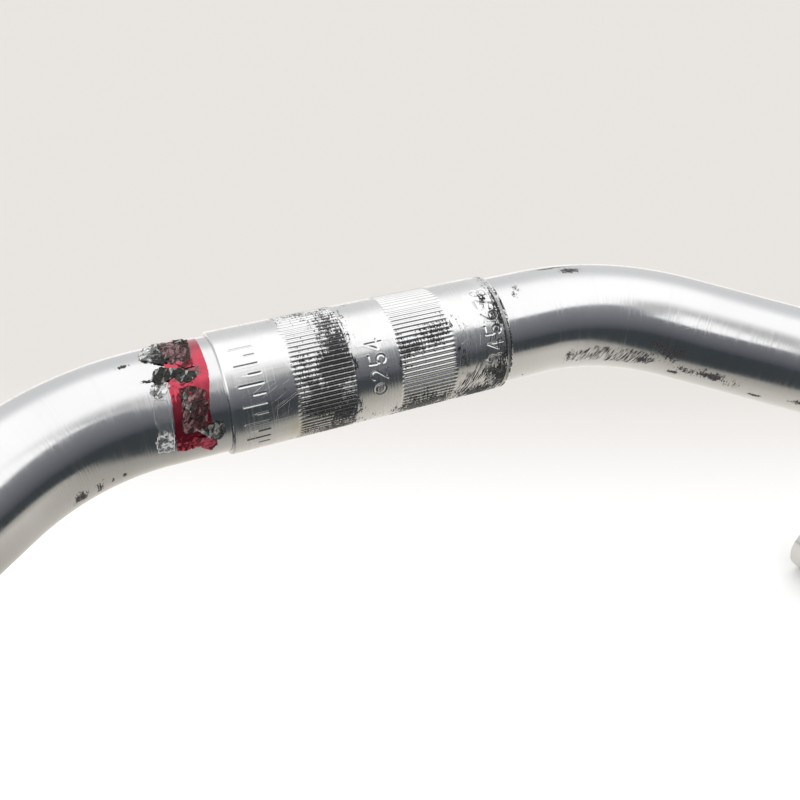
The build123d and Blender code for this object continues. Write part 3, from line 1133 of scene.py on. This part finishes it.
def torn_sheet():
    """An empty bmesh that takes the rim attribute of what is laid in it."""
    bm = bmesh.new()
    bm.verts.layers.float.new("rim")
    return bm


# Finishes: name, dark colour and the light colour of the painted glints, how metallic the glints
# are, how
# # scarce they are, and cover. The black print takes its dark colour from the settings.
BLACK, BROWN, SILVER, GREY, RED = range(5)
PRINTS = {
    BLACK: ("black_print", None, (0.36, 0.37, 0.34), 0.85, 0.78, 1.0),
    BROWN: ("brown_print", (0.026, 0.012, 0.012), (0.29, 0.16, 0.165), 0.4, 0.74, 0.10),
    SILVER: ("silver_glints", (0.14, 0.145, 0.14), (0.74, 0.75, 0.73), 0.7, 0.50, 0.30),
    GREY: ("grey_print", (0.026, 0.027, 0.025), (0.42, 0.43, 0.40), 0.6, 0.66, 0.45),
    RED: ("red_print", (0.10, 0.006, 0.013), (0.62, 0.10, 0.15), 0.7, 0.66, 0.7),
}

# Scraps: lift, crumple, curl, finish and corners. Each one's number is the seed of its noise.
FIRST_SEED = 21
SCRAPS = [
    (0.10, 0.42, 0.20, BROWN, [
        (-40.2, -24), (-36.5, -26), (-34.6, -12), (-35.2, 14), (-36.3, 23), (-38.5, 20),
        (-40.3, 17), (-40.6, 2)]),
    (0.08, 0.50, 0.30, SILVER, [
        (-44.6, 1), (-43.2, -14), (-42.0, -23), (-39.8, -28), (-40.6, -6), (-40.4, 6),
        (-42.2, 13), (-44.2, 7)]),
    (0.16, 0.46, 0.40, BLACK, [
        (-41.4, -4), (-39.8, 0), (-39.2, 11), (-40.6, 18), (-42.2, 14), (-42.4, 5)]),
    (0.16, 0.48, 0.40, BLACK, [
        (-43.0, 24), (-41.5, 21), (-38.6, 25), (-37.8, 29), (-39.4, 33), (-41.0, 36),
        (-42.8, 38), (-43.4, 31)]),
    (0.18, 0.46, 0.40, BLACK, [
        (-38.8, 25), (-36.6, 30), (-34.9, 33), (-35.2, 36), (-36.6, 41), (-38.4, 40),
        (-39.6, 32)]),
    (0.20, 0.10, 0.30, BLACK, [(-45.8, 30.5), (-43.0, 31.0), (-42.6, 34.5)]),
    (0.12, 0.52, 0.50, SILVER, [
        (-43.8, 36), (-41.4, 34), (-40.4, 41), (-41.6, 46), (-42.6, 49.5), (-43.6, 49),
        (-44.4, 43)]),
    (0.10, 0.42, 0.30, BROWN, [
        (-39.3, 45), (-37.3, 44), (-35.2, 48), (-34.2, 54), (-35.5, 60), (-38.6, 58)]),
    (0.12, 0.45, 0.30, BROWN, [
        (-39.4, 57), (-36.5, 58), (-34.3, 60), (-34.6, 70), (-37.2, 74), (-39.6, 70)]),
    (0.12, 0.45, 0.30, BROWN, [
        (-39.8, 68), (-37.0, 72), (-34.9, 71), (-35.6, 82), (-38.0, 87), (-40.2, 85)]),
    (0.14, 0.46, 0.50, GREY, [
        (-36.2, 87), (-35.0, 83), (-33.6, 82), (-32.4, 85), (-32.3, 94), (-33.2, 101),
        (-34.8, 97), (-35.8, 91)]),
    (0.26, 0.16, 0.30, SILVER, [(-37.4, 86), (-36.6, 85), (-34.9, 94), (-35.4, 97)]),
    (0.14, 0.36, 0.40, RED, [
        (-38.2, 92), (-35.4, 96), (-34.0, 101), (-34.0, 110), (-35.2, 114), (-37.4, 106)]),
    (0.16, 0.30, 0.30, RED, [
        (-38.6, 19), (-36.4, 17), (-35.2, 19), (-35.3, 26), (-37.0, 28)]),
    (0.16, 0.30, 0.40, BLACK, [(-37.4, -20), (-35.6, -17), (-35.2, -9), (-36.8, -12)]),
    (0.16, 0.28, 0.30, GREY, [
        (-39.2, 47), (-37.8, 52), (-36.9, 66), (-38.0, 68), (-39.2, 60)]),
]
FILM_SEED = 41
FILM_CORNERS = [
    (-44.0, 50), (-41.7, 52), (-41.8, 84), (-42.2, 104), (-45.2, 102), (-45.3, 89), (-44.4, 79),
    (-44.8, 66),
]


class HANDLEBAR_OT_scraps(bpy.types.Operator):
    """Builds the torn scraps of dark print that lie crumpled on the foil"""

    bl_idname = "handlebar.scraps"
    bl_label = "Label scraps"

    def execute(self, context):
        tube, label = context.scene.handlebar_tube, context.scene.handlebar_label
        bm = torn_sheet()
        for seed, (lift, crumple, curl, finish, corners) in enumerate(SCRAPS, start=FIRST_SEED):
            lay_torn(bm, tube, seed, corners, lift, crumple, curl, finish)
        finishes = [
            torn_scrap_material(name, dark or label.scrap, *others)
            for name, dark, *others in PRINTS.values()
        ]
        finish_piece(bm, "torn_scraps", finishes, "label_scraps", 32.0)
        return {"FINISHED"}


class HANDLEBAR_OT_film(bpy.types.Operator):
    """Builds the corner of clear film that is left beside the foil"""

    bl_idname = "handlebar.film"
    bl_label = "Label film"

    def execute(self, context):
        tube, label = context.scene.handlebar_tube, context.scene.handlebar_label
        bm = torn_sheet()
        lay_torn(
            bm, tube, FILM_SEED, FILM_CORNERS, lift=0.07, crumple=0.22, curl=0.10, cuts=11
        )
        finish = clear_film_material(label)
        finish_piece(bm, "film_corner", [finish], "label_film", 60.0)
        return {"FINISHED"}


# ---- stage ----
# Colours of the room by the height of a direction, from -1 straight down to 1 straight up.
NEAR_ROOM = [
    (-0.45, (0.06, 0.06, 0.06)), (-0.25, (0.06, 0.068, 0.075)), (-0.05, (0.070, 0.080, 0.092)),
    (0.10, (0.13, 0.135, 0.155)), (0.30, (0.19, 0.195, 0.215)), (0.50, (0.25, 0.26, 0.28)),
    (0.70, (0.36, 0.37, 0.39)), (0.90, (0.50, 0.50, 0.50)),
]
FAR_ROOM = [
    (-0.30, (0.90, 0.88, 0.86)), (0.05, (0.80, 0.795, 0.79)), (0.50, (0.84, 0.85, 0.86)),
    (0.63, (0.95, 0.95, 0.96)),
]
# Colours that the bar mirrors in the floor, from its front to its back, by metres. They are painted
# shade, darkest in front of the bar, and only glossy rays see them.
MIRRORED_FLOOR_SHADE = [
    (-0.22, (0.045, 0.052, 0.056)), (-0.152, (0.070, 0.078, 0.080)),
    (-0.128, (0.21, 0.205, 0.19)), (-0.105, (0.36, 0.345, 0.315)), (-0.03, (0.48, 0.455, 0.41)),
    (0.03, (0.60, 0.57, 0.52)), (0.12, (0.69, 0.66, 0.61)), (0.25, (0.80, 0.77, 0.72)),
    (0.40, (0.95, 0.94, 0.92)),
]
WHITE = (1.0, 1.0, 1.0, 1.0)
BACKDROP_STRENGTH = 1.25
FLOOR_HALF = 3.0  # half the floor's side, in metres
UNDER_BAR = 0.1 * MM  # from the lowest point of the bar down to the floor


def light_studio(scene, stage):
    """A plain soft studio: bright ceiling, pale far side, and a darker room behind the camera."""
    world = bpy.data.worlds.new("soft_studio")
    scene.world = world
    n = empty_nodes(world)
    split = n.split(n.add("TexCoord").outputs["Generated"])
    forward = n.times(split["Y"], -1.0)
    front = n.fade(forward, -0.20, 0.0)
    sides = n.blend(
        front, n.stops(split["Z"], -1.0, 1.0, FAR_ROOM), n.stops(split["Z"], -1.0, 1.0, NEAR_ROOM)
    )
    # Where a direction meets a ceiling one metre up.
    height = n.highest(split["Z"], 0.05)
    ceiling_x = n.work_out("DIVIDE", split["X"], height)
    ceiling_y = n.work_out("DIVIDE", forward, height)
    edge = n.fade(ceiling_x, -0.05, 0.50, 1.70, 0.92)
    near_lamp = n.fade(n.minus(ceiling_y, edge), 0.09, -0.09)
    far_lamp = n.fade(split["Z"], 0.60, 0.84)
    lamp = n.plus(n.times(near_lamp, front), n.times(far_lamp, n.minus(1.0, front)))
    # A dimmer strip across the near half of the ceiling.
    veil = n.times(
        n.fade(ceiling_x, 0.46, 0.32), n.fade(ceiling_x, 0.02, 0.14), n.fade(ceiling_y, 0.30, 0.80)
    )
    brightness = n.times(n.minus(1.0, n.times(veil, 0.54)), stage.ceiling)

    def light(colour_, strength):
        return n.add("Background", {"Color": colour_, "Strength": strength}).outputs[0]

    lit = n.mix(lamp, light(sides, 1.0), light(WHITE, brightness))
    backdrop = light(rgba(stage.far_floor), BACKDROP_STRENGTH)
    seen = n.add("LightPath").outputs["Is Camera Ray"]
    n.add("OutputWorld", {"Surface": n.mix(seen, lit, backdrop)})


def floor_material(stage):
    """Pale matt paper, white under the bar and greyer far from it. To glossy rays it shows painted
    shade instead, darkest in front of the bar. From below it is clear.
    """
    made = bpy.data.materials.new("pale_paper")
    n = empty_nodes(made)
    where = n.object_place()
    split = n.split(where)
    ahead = (math.sin(stage.far_heading), math.cos(stage.far_heading), 0.0)
    behind = n.fade(n.vector("DOT_PRODUCT", where, ahead), stage.far_start, stage.far_end)
    distant = n.highest(behind, n.fade(n.vector("LENGTH", where), 0.9, 2.0))
    paper = n.blend(distant, rgba(stage.floor), rgba(stage.far_floor))
    sideways = n.work_out("MINIMUM", split["X"], 0.16)
    across = n.plus(split["Y"], n.times(sideways, 1.3))
    mirrored_shade = n.stops(across, -0.40, 0.50, MIRRORED_FLOOR_SHADE)
    rays = n.add("LightPath").outputs
    # Glossy rays see the painted shade, every other ray sees the paper.
    tint = n.blend(rays["Is Glossy Ray"], paper, mirrored_shade)
    seen = n.plus(
        rays["Is Camera Ray"], rays["Is Glossy Ray"], rays["Is Transmission Ray"], clamp=True
    )
    matt = n.add("BsdfDiffuse", {"Color": tint}).outputs[0]
    lift = n.times(seen, stage.lift)
    glow = n.add("Emission", {"Color": tint, "Strength": lift}).outputs[0]
    both = n.add("AddShader", {0: matt, 1: glow}).outputs[0]
    clear = n.add("BsdfTransparent").outputs[0]
    backfacing = n.add("NewGeometry").outputs["Backfacing"]
    below = n.times(backfacing, rays["Is Camera Ray"])
    n.add("OutputMaterial", {"Surface": n.mix(below, both, clear)})
    return made


class HANDLEBAR_OT_stage(bpy.types.Operator):
    """Sets the camera, the pale floor and the soft light"""

    bl_idname = "handlebar.stage"
    bl_label = "Stage"

    def execute(self, context):
        scene = context.scene
        stage = scene.handlebar_stage
        lens = bpy.data.cameras.new("camera")
        lens.lens, lens.sensor_width = stage.lens, 36.0
        lens.clip_start, lens.clip_end = 0.01, 20.0
        camera = bpy.data.objects.new("camera", lens)
        camera.location = stage.place
        camera.rotation_euler = (math.pi / 2 - stage.pitch, 0.0, -stage.heading)
        scene.collection.objects.link(camera)
        scene.camera = camera
        scene.view_settings.view_transform = "Standard"

        bm = bmesh.new()
        bmesh.ops.create_grid(bm, x_segments=4, y_segments=4, size=FLOOR_HALF)
        bmesh.ops.translate(bm, vec=(0.0, 0.0, cad_low.z - UNDER_BAR), verts=bm.verts)
        mesh = bpy.data.meshes.new("floor")
        bm.to_mesh(mesh)
        bm.free()
        floor = bpy.data.objects.new("floor", mesh)
        scene.collection.objects.link(floor)
        mesh.materials.append(floor_material(stage))
        light_studio(scene, stage)
        return {"FINISHED"}


class HANDLEBAR_PT_panel(bpy.types.Panel):
    """Lists the pieces of the handlebar"""

    bl_idname = "HANDLEBAR_PT_panel"
    bl_label = "Drop handlebar"
    bl_space_type = "VIEW_3D"
    bl_region_type = "UI"
    bl_category = "Handlebar"

    def draw(self, context):
        for operator in OPERATORS:
            self.layout.operator(operator.bl_idname)


OPERATORS = (
    HANDLEBAR_OT_stage, HANDLEBAR_OT_tube, HANDLEBAR_OT_sleeve,
    HANDLEBAR_OT_foil, HANDLEBAR_OT_film, HANDLEBAR_OT_scraps,
)
SETTINGS = {
    "handlebar_tube": HANDLEBAR_PG_tube,
    "handlebar_sleeve": HANDLEBAR_PG_sleeve,
    "handlebar_label": HANDLEBAR_PG_label,
    "handlebar_stage": HANDLEBAR_PG_stage,
}


def register():
    """Registers the settings, the operators and the panel."""
    for name, group in SETTINGS.items():
        bpy.utils.register_class(group)
        setattr(bpy.types.Scene, name, bpy.props.PointerProperty(type=group))
    for operator in OPERATORS:
        bpy.utils.register_class(operator)
    bpy.utils.register_class(HANDLEBAR_PT_panel)


def unregister():
    """Takes away what register added, in reverse order."""
    bpy.utils.unregister_class(HANDLEBAR_PT_panel)
    for operator in reversed(OPERATORS):
        bpy.utils.unregister_class(operator)
    for name, group in reversed(SETTINGS.items()):
        delattr(bpy.types.Scene, name)
        bpy.utils.unregister_class(group)


def main():
    """Registers the add-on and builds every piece."""
    register()
    make_shared_effects()
    bpy.ops.handlebar.stage()
    bpy.ops.handlebar.tube()
    bpy.ops.handlebar.sleeve()
    bpy.ops.handlebar.foil()
    bpy.ops.handlebar.film()
    bpy.ops.handlebar.scraps()


if __name__ == "__main__":
    main()
